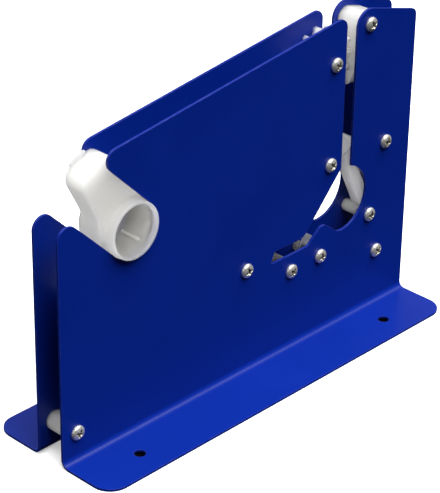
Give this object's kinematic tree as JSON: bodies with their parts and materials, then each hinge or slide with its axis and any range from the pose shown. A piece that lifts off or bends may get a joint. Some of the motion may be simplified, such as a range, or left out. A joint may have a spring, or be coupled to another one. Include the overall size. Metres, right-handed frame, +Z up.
{
  "type": "bag neck sealer",
  "caption": "Bench bag neck sealer: two bent side plates on feet carry a tape hub, star wheel, sprung press jaw and trimming knife; a neck pulled down the slot is taped and trimmed.",
  "frame": {"origin": "on the ground, in the middle of the two feet", "axes": "+X along the side plates, from the tape hub to the neck slot; +Y from the front plate to the rear plate; +Z up"},
  "size_m": [0.23, 0.0764, 0.1626],
  "materials": {
    "blue_paint": "satin powder coat",
    "white_nylon": "moulded, slightly translucent",
    "sleeve_steel": "turned",
    "screw_steel": "zinc plated",
    "blade_steel": "ground",
    "spring_steel": "drawn wire"
  },
  "bodies": {
    "frame": {"front_plate": "blue_paint", "rear_plate": "blue_paint", "wheel_axle": "sleeve_steel", "top_guide": "white_nylon", "left_guide": "white_nylon", "tape_blade": "blade_steel", "jaw_pivot": "sleeve_steel", "stop_sleeve": "white_nylon", "spring_post": "white_nylon", "jaw_spring": "spring_steel", "catch_pin": "white_nylon", "catch_spring": "spring_steel", "knife_holder_front": "white_nylon", "knife_holder_rear": "white_nylon", "trim_blade": "blade_steel", "corner_sleeve": "white_nylon", "front_screws": "screw_steel", "rear_screws": "screw_steel"},
    "hub": {"tape_hub": "white_nylon"},
    "wheel": {"star_wheel": "white_nylon"},
    "jaw": {"press_jaw": "white_nylon"},
    "catch": {"trim_catch": "white_nylon"}
  },
  "joints": [
    {"name": "hub_spin", "type": "hinge", "parent": "frame", "child": "hub", "pos_m": [-0.0723, 0, 0.1042], "axis": [0, 1, 0], "continuous": true},
    {"name": "wheel_spin", "type": "hinge", "parent": "frame", "child": "wheel", "pos_m": [0.058, 0, 0.141], "axis": [0, 1, 0], "continuous": true},
    {"name": "jaw_swing", "type": "hinge", "parent": "frame", "child": "jaw", "pos_m": [0.0936, 0, 0.0302], "axis": [0, 1, 0], "range_deg": [0, 8], "stiffness_Nm_per_rad": 0.1, "springref_deg": -68.75, "deforming": ["jaw_spring"]},
    {"name": "catch_swing", "type": "hinge", "parent": "frame", "child": "catch", "pos_m": [0.0519, 0, 0.0429], "axis": [0, -1, 0], "range_deg": [0, 30], "stiffness_Nm_per_rad": 0.0005, "springref_deg": -45.84, "deforming": ["catch_spring"]}
  ]
}
